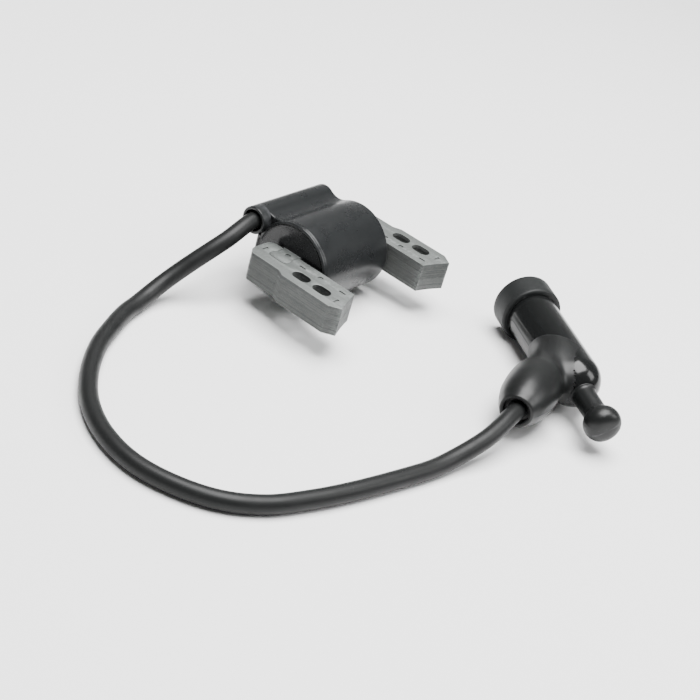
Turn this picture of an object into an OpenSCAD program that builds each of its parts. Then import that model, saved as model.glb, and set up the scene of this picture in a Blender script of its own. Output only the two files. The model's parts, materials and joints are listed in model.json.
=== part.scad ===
// Flywheel magneto ignition coil with its high tension lead and plug cap.
// Millimetres. X runs along the legs towards the flywheel, Y runs from the left leg
// to the right leg, Z runs up through the lamination stack. The origin is the centre
// of the four mounting slots, on the underside of the legs.

/* [Core] */
// Height of the lamination stack
stack_h = 12.7; // [11:0.1:15.5]
// Distance between the inner faces of the two legs
leg_gap = 46.4; // [44:0.2:56]
// Width of a leg across its slots
leg_w = 16.4; // [15.4:0.2:20]
// Reach of the pole tips in front of the slots' centre
leg_front = 19; // [17:0.5:24]
// Reach of the legs behind the slots' centre
leg_back = 31; // [29:0.5:38]
// Radius of the flywheel rim that the pole faces are cut to
pole_r = 90; // [75:1:120]
// Width of the crossbar that carries the windings
bar_w = 9.6; // [8:0.1:11.6]
// Width of a mounting slot
slot_w = 5.3; // [4.4:0.1:6.4]
// Length of a mounting slot, end to end
slot_l = 8.3; // [7:0.1:9.6]
// Distance between the two slots in one leg
slot_pitch = 10.8; // [10:0.1:13]
// Distance from a leg's inner face to the middle of its slots
slot_inset = 10.05; // [8.8:0.05:10.6]

/* [Housing] */
// Diameter of the drum around the windings
drum_d = 37; // [36:0.2:44.6]
// Thickness of the housing wall
wall_t = 1.4; // [1:0.1:1.6]
// Outside diameter of the lead tower
tower_d = 11.8; // [10:0.1:14]
// Diameter of the open socket at the tower's mouth
socket_d = 9.2; // [8.6:0.1:9.6]
// How far the tower stands out past the drum's open end
tower_out = 3.7; // [2:0.1:8]

/* [Lead] */
// Diameter of the high tension lead
lead_d = 7; // [5.8:0.1:8.4]
// Diameter of the lead's conductor
wire_d = 2.6; // [2.4:0.1:3]

/* [Plug cap] */
// Diameter of the cap's barrel
barrel_d = 22; // [20:0.1:26.4]
// Length of the barrel from the elbow to its open end
barrel_l = 35.8; // [35:0.1:44]
// Thickness of the rubber seal round the open end
seal_t = 2.3; // [1.5:0.05:3]
// Diameter of the lead boot at its widest
boot_d = 22; // [20:0.1:24]
// Diameter of the pull knob
knob_d = 15; // [12:0.5:18]
// Diameter of the plug terminal that the clip grips
terminal_d = 6.4; // [5.4:0.1:7.8]

/* [Hidden] */
$fn = 96;
cut = 1;
touch = 0.05;

// core
leg_in = leg_gap / 2;
leg_out = leg_in + leg_w;
leg_step = 1.8;
step_x0 = -13.7;
step_x1 = -10.2;
nose_x = leg_front - 4.9;
nose_y = leg_out - 3.3;
pole_x = leg_front + sqrt(pole_r * pole_r - nose_y * nose_y);
back_r = 4.5;
mid_z = stack_h / 2;
bar_x = 11 - leg_back;
tenon_end = leg_in + 9.2;
tenon_head = 6;
neck_w = bar_w - 1.4;
slot_y = leg_in + slot_inset;
mark_l = 3.2;
mark_w = 1.1;
mark_t = 0.4;
mark_r = 1.3;
// middle of each stamped mark, then its turn
marks = [
    [bar_x - 7.8, leg_in + 7.2, 90],
    [-10, leg_in + 4.2, 0],
    [10.9, leg_in + 3.8, 0],
    [leg_front - 5.3, leg_in + 10.9, 90]
];

// windings, nested round the crossbar
form_r = sqrt(bar_w * bar_w + stack_h * stack_h) / 2 + 1;
primary_r = form_r + 2.4;
form_lip_r = form_r + 3;
lip_t = 1;
secondary_in = form_lip_r;
secondary_tube = secondary_in + 0.8;
secondary_r = secondary_tube + 1.8;
secondary_lip = secondary_r + 0.6;

// housing
drum_r = drum_d / 2;
floor_z = mid_z - drum_r;
drum_y0 = 0.9 - leg_in;
drum_y1 = leg_in - 2.9;
cavity_y1 = drum_y1 - wall_t;
web_y0 = drum_y0 + 1.2;
mouth_y = drum_y0 - tower_out;
tower_r = tower_d / 2;
tray_x = -max(drum_r + 0.9, secondary_lip + 4.2);
tower_dx = tray_x - 1.2;
tower_dz = 11.4 + (drum_r - 18.5) / 2;
tower_x = bar_x + tower_dx;
tower_z = mid_z + tower_dz;
valley_r = 8;
valley_a = drum_r + valley_r;
valley_b = tower_r + valley_r;
tower_reach = sqrt(tower_dx * tower_dx + tower_dz * tower_dz);
valley_u = (valley_a * valley_a - valley_b * valley_b + tower_reach * tower_reach) / (2 * tower_reach);
valley_v = sqrt(valley_a * valley_a - valley_u * valley_u);
valley_x = (valley_u * tower_dx + valley_v * tower_dz) / tower_reach;
valley_z = (valley_u * tower_dz - valley_v * tower_dx) / tower_reach;
tray_z0 = -7.4;
tray_z1 = 5;
tray_r = 1.5;
resin_in = 0.4;
socket_depth = 9;

// length of the windings and their chambers
coil_y0 = drum_y0 + 4.3;
coil_y1 = cavity_y1 - 1.5;
fin_t = 0.8;
chambers = 6;
chamber_l = (coil_y1 - coil_y0 - fin_t) / chambers;

// ignition module beside the windings
board_t = 1;
board_gap = 0.4;
board_x = bar_x + tray_x + wall_t + board_gap;
board_y0 = coil_y0 - 2.5;
board_y1 = coil_y1 - 5;
board_z0 = mid_z + tray_z0 + wall_t + 1;
board_z1 = mid_z + tray_z1 - wall_t - 1;
board_mid = (board_z0 + board_z1) / 2;
strap_t = 0.5;
strap_w = 3;

// tower terminal, level with the middle of the last chamber
pin_head_t = 1.6;
lead_in_y = coil_y1 - (chamber_l + fin_t + pin_head_t) / 2;
pin_r = 0.9;
pin_y0 = lead_in_y - 8;
pin_head_r = 2.6;
link_r = 0.5;
link_y = lead_in_y + pin_head_t / 2;
link_turn = atan2(tower_dz, tower_dx);

// lead
lead_sides = 12;
lead_step = 6.6;
lead_r = lead_d / 2;
wire_r = wire_d / 2;
lie_z = floor_z + lead_r;
grip = 0.08;
drop = tower_z - lie_z;

// plug cap, laid with its seal on the same level as the drum
barrel_r = barrel_d / 2;
seal_r = barrel_r + seal_t;
cap_x = 78.5;
cap_y = 38.5;
cap_z = floor_z + seal_r;
rise = cap_z - lie_z;
barrel_dir = 145.7;
arm_dir = -75.8;
dome_x = -17.2;
arm_r = 7;
arm_l = 24;
lead_stop = 12;
shank_l = 24;
shank_r = wire_r - 0.1;
base_r = 3.3;
base_x = 1.5;
resistor_r = 3.1;
resistor_cap_r = 3.3;
resistor_x1 = 14.5;
spring_x1 = 20.5;
spring_r = 2.3;
spring_wire = 0.35;
spring_turns = 4;
spring_steps = 14;
spring_sides = 8;
clip_base_t = 2;
clip_r = terminal_d / 2 + 0.8;
clip_base_r = clip_r + 0.6;
clip_x1 = 34;
clip_slit = 1;
ring_x = 31;
ring_r = 0.5;
plug_bore_r = 6.8;
plug_bore_x = 24.5;
seal_x0 = barrel_l - 7.8;
seal_x1 = barrel_l + 4.6;
seal_lip_r = 6;
seal_lip_t = 2.4;
seal_edge = 1.2;
boot_r = boot_d / 2;
boot_l = 53;
boot_rim = 6.4;
boot_mouth = 5.2;
mouth_l = 2.5;
knob_r = knob_d / 2;
knob_x0 = -41;
knob_x1 = -50.5;
knob_root = -23;
neck_r = 4.9;

// a point some way out along the cap's lead arm
function arm_at(s) = [cap_x + s * cos(arm_dir), cap_y + s * sin(arm_dir), cap_z];

// points the lead is laid through, from inside the tower to inside the cap
route = [
    [tower_x, lead_in_y, tower_z],
    [tower_x, 2, tower_z],
    [tower_x, -6, tower_z],
    [tower_x, mouth_y + 12, tower_z],
    [tower_x, mouth_y + 5, tower_z],
    [tower_x + 0.1, mouth_y - 1, tower_z - drop * 0.005],
    [tower_x + 0.6, mouth_y - 6.5, tower_z - drop * 0.05],
    [tower_x + 0.8, mouth_y - 14, tower_z - drop * 0.16],
    [tower_x - 0.6, mouth_y - 21, tower_z - drop * 0.31],
    [tower_x - 2.7, mouth_y - 27.2, tower_z - drop * 0.48],
    [tower_x - 4.7, mouth_y - 33.4, lie_z + drop * 0.345],
    [tower_x - 5.9, mouth_y - 40.1, lie_z + drop * 0.19],
    [tower_x - 5.8, mouth_y - 47.3, lie_z + drop * 0.075],
    [tower_x - 4.5, mouth_y - 54.8, lie_z + drop * 0.015],
    [-43.1, -88.9, lie_z],
    [-38.6, -99.3, lie_z],
    [-31.3, -113.2, lie_z],
    [-20, -127.5, lie_z],
    [-6.5, -139, lie_z],
    [9, -146.2, lie_z],
    [25.5, -148.4, lie_z],
    [41.5, -144.9, lie_z],
    [56, -137.2, lie_z],
    [66.6, -125.5, lie_z],
    [73.6, -110.5, lie_z],
    [78.9, -95.2, lie_z],
    [83.2, -79.6, lie_z],
    [cap_x + 8.5, -64, lie_z],
    [cap_x + 10.1, -56, lie_z + rise * 0.03],
    [cap_x + 11.5, -48, lie_z + rise * 0.16],
    [cap_x + 13, -40.2, lie_z + rise * 0.37],
    [cap_x + 14.1, -32.4, lie_z + rise * 0.6],
    [cap_x + 14.2, -24.5, lie_z + rise * 0.82],
    [cap_x + 13.6, -18, lie_z + rise * 0.96],
    arm_at(53),
    arm_at(47),
    arm_at(40),
    arm_at(33),
    arm_at(25),
    arm_at(18),
    arm_at(lead_stop)
];

// a smooth curve through p1 and p2, headed by their neighbours
function curve(p0, p1, p2, p3, t) =
    (2 * p1 + (p2 - p0) * t + (2 * p0 - 5 * p1 + 4 * p2 - p3) * t * t
    + (3 * p1 - p0 - 3 * p2 + p3) * t * t * t) / 2;
function legs(p, i) = max(1, round(norm(p[i + 1] - p[i]) / lead_step));
function smooth(p) = concat(
    [for (i = [0:len(p) - 2])
        for (k = [0:legs(p, i) - 1])
            curve(p[max(i - 1, 0)], p[i], p[i + 1], p[min(i + 2, len(p) - 1)], k / legs(p, i))],
    [p[len(p) - 1]]);
function heading(p, i) =
    let (d = p[min(i + 1, len(p) - 1)] - p[max(i - 1, 0)]) d / norm(d);
function across(h) = let (d = cross(h, [0, 0, 1])) d / norm(d);
function hoop(p, i, r, n) =
    let (h = heading(p, i), a = across(h), b = cross(a, h))
        [for (k = [0:n - 1]) p[i] + r * (cos(360 * k / n) * a + sin(360 * k / n) * b)];
function hoops(p, r, n) = [for (i = [0:len(p) - 1]) each hoop(p, i, r, n)];
// quads round and along a tube, its rings in order from the first point on
function skin(rings, n, first) =
    [for (i = [0:rings - 2]) for (k = [0:n - 1])
        [first + i * n + k, first + i * n + (k + 1) % n,
         first + (i + 1) * n + (k + 1) % n, first + (i + 1) * n + k]];
function turned(faces) = [for (f = faces) [for (k = [len(f) - 1:-1:0]) f[k]]];
// flat rings that join an outer end to an inner end
function lids(n, a, b) =
    [for (k = [0:n - 1]) [a + k, b + k, b + (k + 1) % n, a + (k + 1) % n]];

lead_path = [for (p = smooth(route)) [p[0], p[1], max(p[2], lie_z)]];
wire_path = concat(
    [[tower_x, pin_y0 - touch, tower_z]],
    [for (p = lead_path)
        if (norm(p - route[0]) > lead_in_y - pin_y0 + cut && norm(p - arm_at(0)) > shank_l + cut) p],
    [arm_at(shank_l + touch)]);

module tube(path, r, n) {
    ends = [[for (k = [n - 1:-1:0]) k], [for (k = [0:n - 1]) (len(path) - 1) * n + k]];
    polyhedron(hoops(path, r, n), concat(turned(skin(len(path), n, 0)), turned(ends)), convexity = 10);
}

module sleeve(path, r_out, r_in, n) {
    inner = len(path) * n;
    last = (len(path) - 1) * n;
    polyhedron(
        concat(hoops(path, r_out, n), hoops(path, r_in, n)),
        concat(
            turned(skin(len(path), n, 0)),
            skin(len(path), n, inner),
            turned(lids(n, 0, inner)),
            lids(n, last, inner + last)),
        convexity = 10);
}

// prisms and rods along an axis
module along_y(y0, y1) {
    translate([0, y1, 0])
        rotate([90, 0, 0])
            linear_extrude(y1 - y0)
                children();
}

module rod_y(y0, y1, r) {
    along_y(y0, y1)
        circle(r = r);
}

module rod_x(x0, x1, r) {
    translate([x0, 0, 0])
        rotate([0, 90, 0])
            cylinder(h = x1 - x0, r = r);
}

module at_bar() {
    translate([bar_x, 0, mid_z])
        children();
}

module at_tower() {
    translate([tower_x, 0, tower_z])
        children();
}

module at_cap() {
    translate([cap_x, cap_y, cap_z])
        rotate([0, 0, barrel_dir])
            children();
}

module on_arm() {
    rotate([0, 0, arm_dir - barrel_dir])
        children();
}

module rounded(w, h, r) {
    square([w, h - 2 * r], center = true);
    square([w - 2 * r, h], center = true);
    for (x = [-1, 1], y = [-1, 1])
        translate([x * (w / 2 - r), y * (h / 2 - r)])
            circle(r = r);
}

// core
module tenon() {
    translate([bar_x, leg_in])
        square([neck_w, 2 * (tenon_end - leg_in) - tenon_head], center = true);
    translate([bar_x, tenon_end - tenon_head / 2])
        rounded(bar_w, tenon_head, 2);
}

module slot() {
    square([slot_l - slot_w, slot_w], center = true);
    for (x = [-1, 1])
        translate([x * (slot_l - slot_w) / 2, 0])
            circle(r = slot_w / 2);
}

module leg_outline() {
    difference() {
        polygon([
            [leg_front, leg_in],
            [leg_front, nose_y],
            [nose_x, leg_out],
            [step_x1, leg_out],
            [step_x0, leg_out - leg_step],
            [2.6 - leg_back, leg_out - leg_step],
            [0.6 - leg_back, leg_out - leg_step - 2.2],
            [-leg_back, leg_out - leg_step - 4],
            [-leg_back, leg_in]
        ]);
        translate([pole_x, 0])
            circle(r = pole_r);
        difference() {
            translate([-leg_back - cut, leg_in - cut])
                square(back_r + cut);
            translate([back_r - leg_back, leg_in + back_r])
                circle(r = back_r);
        }
        for (x = [-1, 1])
            translate([x * slot_pitch / 2, slot_y])
                slot();
        tenon();
    }
}

module stamped_marks() {
    translate([0, 0, stack_h - mark_t]) {
        for (m = marks)
            translate([m[0], m[1], 0])
                rotate([0, 0, m[2]])
                    translate([-mark_l / 2, -mark_w / 2, 0])
                        cube([mark_l, mark_w, mark_t + cut]);
        translate([-0.8, leg_in + 3.7, 0])
            cylinder(h = mark_t + cut, r = mark_r);
    }
}

module leg() {
    difference() {
        linear_extrude(stack_h)
            leg_outline();
        stamped_marks();
    }
}

module right_leg_laminations() {
    color("#8c918c")
        leg();
}

module left_leg_laminations() {
    color("#8c918c")
        mirror([0, 1, 0])
            leg();
}

module crossbar_laminations() {
    color("#7d827d")
        difference() {
            linear_extrude(stack_h) {
                translate([bar_x, 0])
                    square([bar_w, 2 * leg_in], center = true);
                tenon();
                mirror([0, 1])
                    tenon();
            }
            for (y = [-1, 1])
                translate([bar_x + 0.7, y * (leg_in + 2.8), stack_h - mark_t])
                    cylinder(h = mark_t + cut, r = mark_r);
        }
}

// housing
module drum_shape(inset) {
    circle(r = drum_r - inset);
    translate([(tray_x + inset) / 2, (tray_z0 + tray_z1) / 2])
        rounded(-tray_x - inset, tray_z1 - tray_z0 - 2 * inset, tray_r);
}

module web_shape() {
    difference() {
        polygon([[0, 0], [valley_x, valley_z], [tower_dx, tower_dz], [tray_x + tray_r, tray_z0 + tray_r]]);
        translate([valley_x, valley_z])
            circle(r = valley_r);
    }
    circle(r = drum_r - wall_t / 2);
}

module coil_housing() {
    color("#1c1c1e")
        difference() {
            union() {
                at_bar() {
                    along_y(drum_y0, drum_y1)
                        drum_shape(0);
                    along_y(web_y0, drum_y1)
                        web_shape();
                }
                at_tower()
                    rod_y(mouth_y, drum_y1, tower_r);
            }
            at_bar() {
                along_y(drum_y0 - cut, cavity_y1)
                    drum_shape(wall_t);
                translate([-bar_w / 2, 0, -mid_z])
                    cube([bar_w, leg_in, stack_h]);
            }
            at_tower() {
                rod_y(mouth_y - cut, mouth_y + socket_depth, socket_d / 2);
                rod_y(mouth_y, lead_in_y, lead_r + grip);
                rod_y(lead_in_y - cut, lead_in_y + pin_head_t, pin_head_r);
            }
            link_shape();
        }
}

module link_shape() {
    translate([bar_x, link_y, mid_z])
        rotate([0, -link_turn, 0])
            rod_x(secondary_r - link_r, tower_reach - pin_head_r + link_r, link_r);
}

module high_tension_link() {
    color("#b98a4a")
        difference() {
            link_shape();
            at_tower()
                rod_y(lead_in_y, lead_in_y + pin_head_t, pin_head_r);
            at_bar()
                rod_y(coil_y0, coil_y1, secondary_r);
        }
}

module potting_resin() {
    color("#101012")
        difference() {
            at_bar()
                along_y(drum_y0 + resin_in, cavity_y1)
                    drum_shape(wall_t);
            at_bar() {
                rod_y(coil_y0, coil_y1, secondary_tube);
                for (i = [0:chambers])
                    rod_y(coil_y0 + i * chamber_l, coil_y0 + i * chamber_l + fin_t, secondary_lip);
                rod_y(coil_y0 + fin_t, coil_y1 - fin_t, secondary_r);
                translate([-bar_w / 2, -leg_in, -mid_z])
                    cube([bar_w, 2 * leg_in, stack_h]);
            }
            board_shape();
            parts_on_board(0);
            strap_shape();
            link_shape();
        }
}

// windings
module primary_bobbin() {
    color("#c9c3ae")
        at_bar()
            difference() {
                union() {
                    rod_y(coil_y0, coil_y1, form_r);
                    rod_y(coil_y0, coil_y0 + lip_t, form_lip_r);
                    rod_y(coil_y1 - lip_t, coil_y1, form_lip_r);
                }
                translate([-bar_w / 2, -leg_in, -mid_z])
                    cube([bar_w, 2 * leg_in, stack_h]);
            }
}

module primary_winding() {
    color("#b4552b")
        at_bar()
            difference() {
                rod_y(coil_y0 + lip_t, coil_y1 - lip_t, primary_r);
                rod_y(coil_y0, coil_y1, form_r);
            }
}

module secondary_bobbin() {
    color("#d8d2c0")
        at_bar()
            difference() {
                union() {
                    rod_y(coil_y0, coil_y1, secondary_tube);
                    for (i = [0:chambers])
                        rod_y(coil_y0 + i * chamber_l, coil_y0 + i * chamber_l + fin_t, secondary_lip);
                }
                rod_y(coil_y0 - cut, coil_y1 + cut, secondary_in);
            }
}

module secondary_winding() {
    color("#a4472a")
        at_bar()
            difference() {
                for (i = [0:chambers - 1])
                    rod_y(coil_y0 + i * chamber_l + fin_t, coil_y0 + (i + 1) * chamber_l, secondary_r);
                rod_y(coil_y0, coil_y1, secondary_tube);
            }
}

// ignition module
module board_shape() {
    translate([board_x, board_y0, board_z0])
        cube([board_t, board_y1 - board_y0, board_z1 - board_z0]);
}

module parts_on_board(which) {
    // how far along the board, length, height and thickness of each part
    sizes = [[8, 6.5, 5, 1.1], [17.5, 3.2, 1.6, 0.9], [23.5, 3.2, 1.6, 1.1]];
    for (i = [0:2])
        if (which == 0 || which == i + 1)
            translate([board_x + board_t, board_y0 + sizes[i][0], board_mid - sizes[i][2] / 2])
                cube([sizes[i][3], sizes[i][1], sizes[i][2]]);
}

module control_board() {
    color("#3f6b45")
        board_shape();
}

module switching_transistor() {
    color("#26262a")
        parts_on_board(1);
}

module bias_resistor() {
    color("#4a4f5a")
        parts_on_board(2);
}

module trigger_capacitor() {
    color("#a98f6a")
        parts_on_board(3);
}

module strap_shape() {
    translate([board_x + board_t, board_y0, board_mid - strap_w / 2])
        cube([bar_x - bar_w / 2 - board_x - board_t, strap_t, strap_w]);
    translate([board_x + board_t, board_y0, board_mid - strap_w / 2])
        cube([strap_t, 3, strap_w]);
}

module ground_strap() {
    color("#b8a06a")
        strap_shape();
}

module tower_terminal() {
    color("#c2a14d")
        at_tower()
            union() {
                rod_y(lead_in_y, lead_in_y + pin_head_t, pin_head_r);
                rod_y(pin_y0 + 2, lead_in_y + cut, pin_r);
                translate([0, pin_y0 + 2, 0])
                    rotate([90, 0, 0])
                        cylinder(h = 2, r1 = pin_r, r2 = 0.2);
            }
}

// lead
module lead_jacket() {
    color("#202022")
        sleeve(lead_path, lead_r, wire_r, lead_sides);
}

module lead_conductor() {
    color("#b66a3c")
        tube(wire_path, wire_r - touch, lead_sides);
}

// plug cap
module barrel_shape() {
    rotate([0, 90, 0])
        rotate_extrude() {
            translate([0, dome_x])
                square([barrel_r, barrel_l - dome_x]);
            intersection() {
                translate([0, dome_x])
                    circle(r = barrel_r);
                translate([0, dome_x - barrel_r])
                    square([barrel_r, barrel_r + cut]);
            }
        }
}

module cap_shell() {
    color("#1d1d1f")
        at_cap()
            difference() {
                union() {
                    barrel_shape();
                    on_arm()
                        rod_x(0, arm_l, arm_r);
                }
                rod_x(-base_x, spring_x1, base_r);
                rod_x(spring_x1 - cut, plug_bore_x, clip_base_r);
                rod_x(plug_bore_x - cut, barrel_l + cut, plug_bore_r);
                rod_x(dome_x - barrel_r - cut, knob_root, neck_r);
                on_arm() {
                    rod_x(lead_stop - 0.5, arm_l + cut, lead_r + grip);
                    rod_x(0, lead_stop, shank_r);
                }
            }
}

module plug_seal() {
    color("#242426")
        at_cap()
            difference() {
                union() {
                    rod_x(seal_x0, seal_x1 - seal_edge, seal_r);
                    translate([seal_x1 - seal_edge, 0, 0])
                        rotate([0, 90, 0])
                            cylinder(h = seal_edge, r1 = seal_r, r2 = seal_r - seal_edge);
                }
                rod_x(seal_x0 - cut, barrel_l, barrel_r);
                rod_x(barrel_l - cut, seal_x1 - seal_lip_t, plug_bore_r);
                rod_x(barrel_l, seal_x1 + cut, seal_lip_r);
            }
}

module lead_boot() {
    color("#222224")
        at_cap()
            difference() {
                on_arm()
                    rotate([0, 90, 0])
                        rotate_extrude()
                            polygon([
                                [0, 4],
                                [boot_r - 2.2, 4],
                                [boot_r - 2.2, 17],
                                [boot_r - 1.6, 21],
                                [boot_r - 0.4, 27],
                                [boot_r, 33],
                                [boot_r - 0.2, 38],
                                [boot_r - 0.9, 43],
                                [boot_r - 2.1, 47.5],
                                [boot_r - 3.4, 50.5],
                                [boot_rim + 0.6, boot_l - 1],
                                [boot_rim, boot_l],
                                [0, boot_l]
                            ]);
                barrel_shape();
                rod_x(knob_x0, knob_root, neck_r);
                on_arm() {
                    rod_x(0, arm_l, arm_r);
                    rod_x(0, boot_l + cut, lead_r + grip);
                    rod_x(boot_l - mouth_l, boot_l + cut, boot_mouth);
                }
            }
}

module pull_knob() {
    color("#1f1f21")
        at_cap()
            union() {
                rod_x(knob_x0 - cut, knob_root, neck_r);
                rotate([0, -90, 0])
                    rotate_extrude()
                        polygon([
                            [0, -knob_x0],
                            [knob_r - 3, -knob_x0],
                            [knob_r - 1.2, 1 - knob_x0],
                            [knob_r - 0.2, 3 - knob_x0],
                            [knob_r, 4.8 - knob_x0],
                            [knob_r - 0.5, 6.8 - knob_x0],
                            [knob_r - 2, 8.4 - knob_x0],
                            [knob_r - 4.2, 9.3 - knob_x0],
                            [0, -knob_x1]
                        ]);
            }
}

module lead_screw() {
    color("#c2a14d")
        at_cap()
            union() {
                rod_x(-base_x, base_x, base_r);
                on_arm() {
                    rod_x(0, shank_l - 3, shank_r);
                    translate([shank_l - 3, 0, 0])
                        rotate([0, 90, 0])
                            cylinder(h = 3, r1 = shank_r, r2 = 0.2);
                }
            }
}

module cap_resistor() {
    color("#d9d4c8")
        at_cap()
            union() {
                rod_x(base_x, resistor_x1, resistor_r);
                rod_x(base_x, base_x + 2, resistor_cap_r);
                rod_x(resistor_x1 - 2, resistor_x1, resistor_cap_r);
            }
}

module contact_spring() {
    color("#b9bbbd")
        at_cap() {
            turns = [for (i = [0:spring_turns * spring_steps])
                let (a = 360 * i / spring_steps,
                     x = resistor_x1 + spring_wire + 0.05
                         + (spring_x1 - resistor_x1 - 2 * spring_wire - 0.1) * i / (spring_turns * spring_steps))
                    [x, spring_r * cos(a), spring_r * sin(a)]];
            coil(turns);
        }
}

// a round wire along a helix about X
module coil(path) {
    n = spring_sides;
    points = [for (i = [0:len(path) - 1])
        let (h = heading(path, i),
             u = [0, path[i][1], path[i][2]] / spring_r,
             a = u - h * (u * h),
             s = a / norm(a),
             b = cross(s, h))
            each [for (k = [0:n - 1])
                path[i] + spring_wire * (cos(360 * k / n) * s + sin(360 * k / n) * b)]];
    ends = [[for (k = [n - 1:-1:0]) k], [for (k = [0:n - 1]) (len(path) - 1) * n + k]];
    polyhedron(points, concat(turned(skin(len(path), n, 0)), turned(ends)), convexity = 10);
}

module plug_clip() {
    color("#c9ab5c")
        at_cap()
            difference() {
                union() {
                    rod_x(spring_x1, spring_x1 + clip_base_t, clip_base_r);
                    rod_x(spring_x1, clip_x1, clip_r);
                }
                rod_x(spring_x1 + clip_base_t, clip_x1 + cut, terminal_d / 2);
                for (a = [0, 90])
                    rotate([a, 0, 0])
                        translate([plug_bore_x + 1, -clip_base_r, -clip_slit / 2])
                            cube([clip_x1, 2 * clip_base_r, clip_slit]);
            }
}

module clip_ring() {
    color("#9fa2a5")
        at_cap()
            translate([ring_x, 0, 0])
                rotate([0, 90, 0])
                    rotate_extrude()
                        translate([clip_r + ring_r, 0])
                            circle(r = ring_r);
}

left_leg_laminations();
right_leg_laminations();
crossbar_laminations();
coil_housing();
potting_resin();
primary_bobbin();
primary_winding();
secondary_bobbin();
secondary_winding();
control_board();
switching_transistor();
bias_resistor();
trigger_capacitor();
ground_strap();
tower_terminal();
high_tension_link();
lead_jacket();
lead_conductor();
cap_shell();
plug_seal();
lead_boot();
pull_knob();
lead_screw();
cap_resistor();
contact_spring();
plug_clip();
clip_ring();
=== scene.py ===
import json
import math
import time
import bpy
import numpy as np
from mathutils import Matrix, Vector
from mathutils.geometry import tessellate_polygon


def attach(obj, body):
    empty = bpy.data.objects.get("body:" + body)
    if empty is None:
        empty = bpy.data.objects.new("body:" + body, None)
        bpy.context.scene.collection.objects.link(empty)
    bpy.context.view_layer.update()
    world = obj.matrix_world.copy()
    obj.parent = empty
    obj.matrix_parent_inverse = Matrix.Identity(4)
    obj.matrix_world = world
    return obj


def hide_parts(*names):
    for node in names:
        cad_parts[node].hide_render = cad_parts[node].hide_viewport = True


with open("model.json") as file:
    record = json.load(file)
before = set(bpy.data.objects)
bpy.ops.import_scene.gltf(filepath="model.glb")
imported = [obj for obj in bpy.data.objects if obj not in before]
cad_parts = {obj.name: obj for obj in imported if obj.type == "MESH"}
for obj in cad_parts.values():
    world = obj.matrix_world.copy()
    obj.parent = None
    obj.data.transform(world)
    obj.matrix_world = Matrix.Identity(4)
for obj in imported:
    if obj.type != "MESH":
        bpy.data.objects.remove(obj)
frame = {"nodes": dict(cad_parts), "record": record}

startTime = time.time()
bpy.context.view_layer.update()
mm = 0.001

# ------- places shared by every piece, in millimetres
layout = {
    "stackHeight": 12.7,
    "barX": -20.0,
    "barWidth": 9.6,
    "drumRadius": 18.5,
    "drumNear": -22.3,
    "drumFar": 20.3,
    "wall": 1.4,
    "webNear": -21.1,
    "socketDepth": 9.0,
    "boreRadius": 3.58,
    "towerDx": -20.6,
    "towerDz": 11.4,
    "towerRadius": 5.9,
    "mouthY": -26.0,
    "floorZ": -12.15,
    "leadRadius": 3.5,
    "cap": (78.5, 38.5, 1.15),
    "barrelTurn": 145.7,
    "armTurn": -75.8,
}
midZ = layout["stackHeight"] / 2
barX = layout["barX"]
towerAt = np.array([barX + layout["towerDx"], 0, midZ + layout["towerDz"]])
lieZ = layout["floorZ"] + layout["leadRadius"]
capAt = np.array(layout["cap"])
upDir = np.array([0, 0, 1.0])


def headingOf(degrees):
    return np.array([math.cos(math.radians(degrees)), math.sin(math.radians(degrees)), 0])


armDir = headingOf(layout["armTurn"])
barrelDir = headingOf(layout["barrelTurn"])


# ------- mesh helpers
def unit(v):
    return v / np.maximum(np.linalg.norm(v, axis=-1, keepdims=True), 1e-12)


def newMesh(name, points, faces, sharpAngle=38, slotName=None):
    mesh = bpy.data.meshes.new(name)
    mesh.from_pydata((np.asarray(points, float) * mm).tolist(), [], [list(map(int, f)) for f in faces])
    mesh.validate()
    mesh.polygons.foreach_set("use_smooth", np.ones(len(mesh.polygons), bool))
    mesh.set_sharp_from_angle(angle=math.radians(sharpAngle))
    mesh.update()
    piece = bpy.data.objects.new(name, mesh)
    bpy.context.scene.collection.objects.link(piece)
    return piece


# quads between rows of a grid of points, wrapping round each row
def gridFaces(rows, cols, first=0, wrapRows=False):
    r, c = np.meshgrid(np.arange(rows if wrapRows else rows - 1), np.arange(cols), indexing="ij")
    r, c = r.ravel(), c.ravel()
    nextR, nextC = (r + 1) % rows, (c + 1) % cols
    quads = [r * cols + c, r * cols + nextC, nextR * cols + nextC, nextR * cols + c]
    return (np.stack(quads, 1) + first).tolist()


def flipped(faces):
    return [f[::-1] for f in faces]


# arc points in place of the corner at b of the path a, b, c
def corner(a, b, c, radius, turnStep=9):
    a, b, c = (np.array(p, float) for p in (a, b, c))
    u, v = unit(a - b), unit(c - b)
    half = math.acos(np.clip(u @ v, -1, 1)) / 2
    if radius <= 0 or half > math.pi / 2 - 0.02:
        return [b]
    reach = min(radius / math.tan(half), 0.499 * np.linalg.norm(a - b), 0.499 * np.linalg.norm(c - b))
    radius = reach * math.tan(half)
    centre = b + unit(u + v) * (radius / math.sin(half))
    p, q = b + u * reach - centre, b + v * reach - centre
    turn = math.atan2(p[0] * q[1] - p[1] * q[0], p @ q)
    steps = max(2, int(abs(math.degrees(turn)) / turnStep) + 1)
    angles = np.linspace(0, turn, steps + 1)
    return [
        centre + np.array([p[0] * math.cos(t) - p[1] * math.sin(t), p[0] * math.sin(t) + p[1] * math.cos(t)])
        for t in angles]


# a path of (x, y, corner radius), its corners rounded
def roundedPath(path, closed=False, turnStep=9):
    n = len(path)
    out = []
    for i, (x, y, radius) in enumerate(path):
        if not closed and i in (0, n - 1):
            out.append(np.array([x, y], float))
        else:
            out += corner(path[i - 1][:2], (x, y), path[(i + 1) % n][:2], radius, turnStep)
    return np.array(out)


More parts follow.
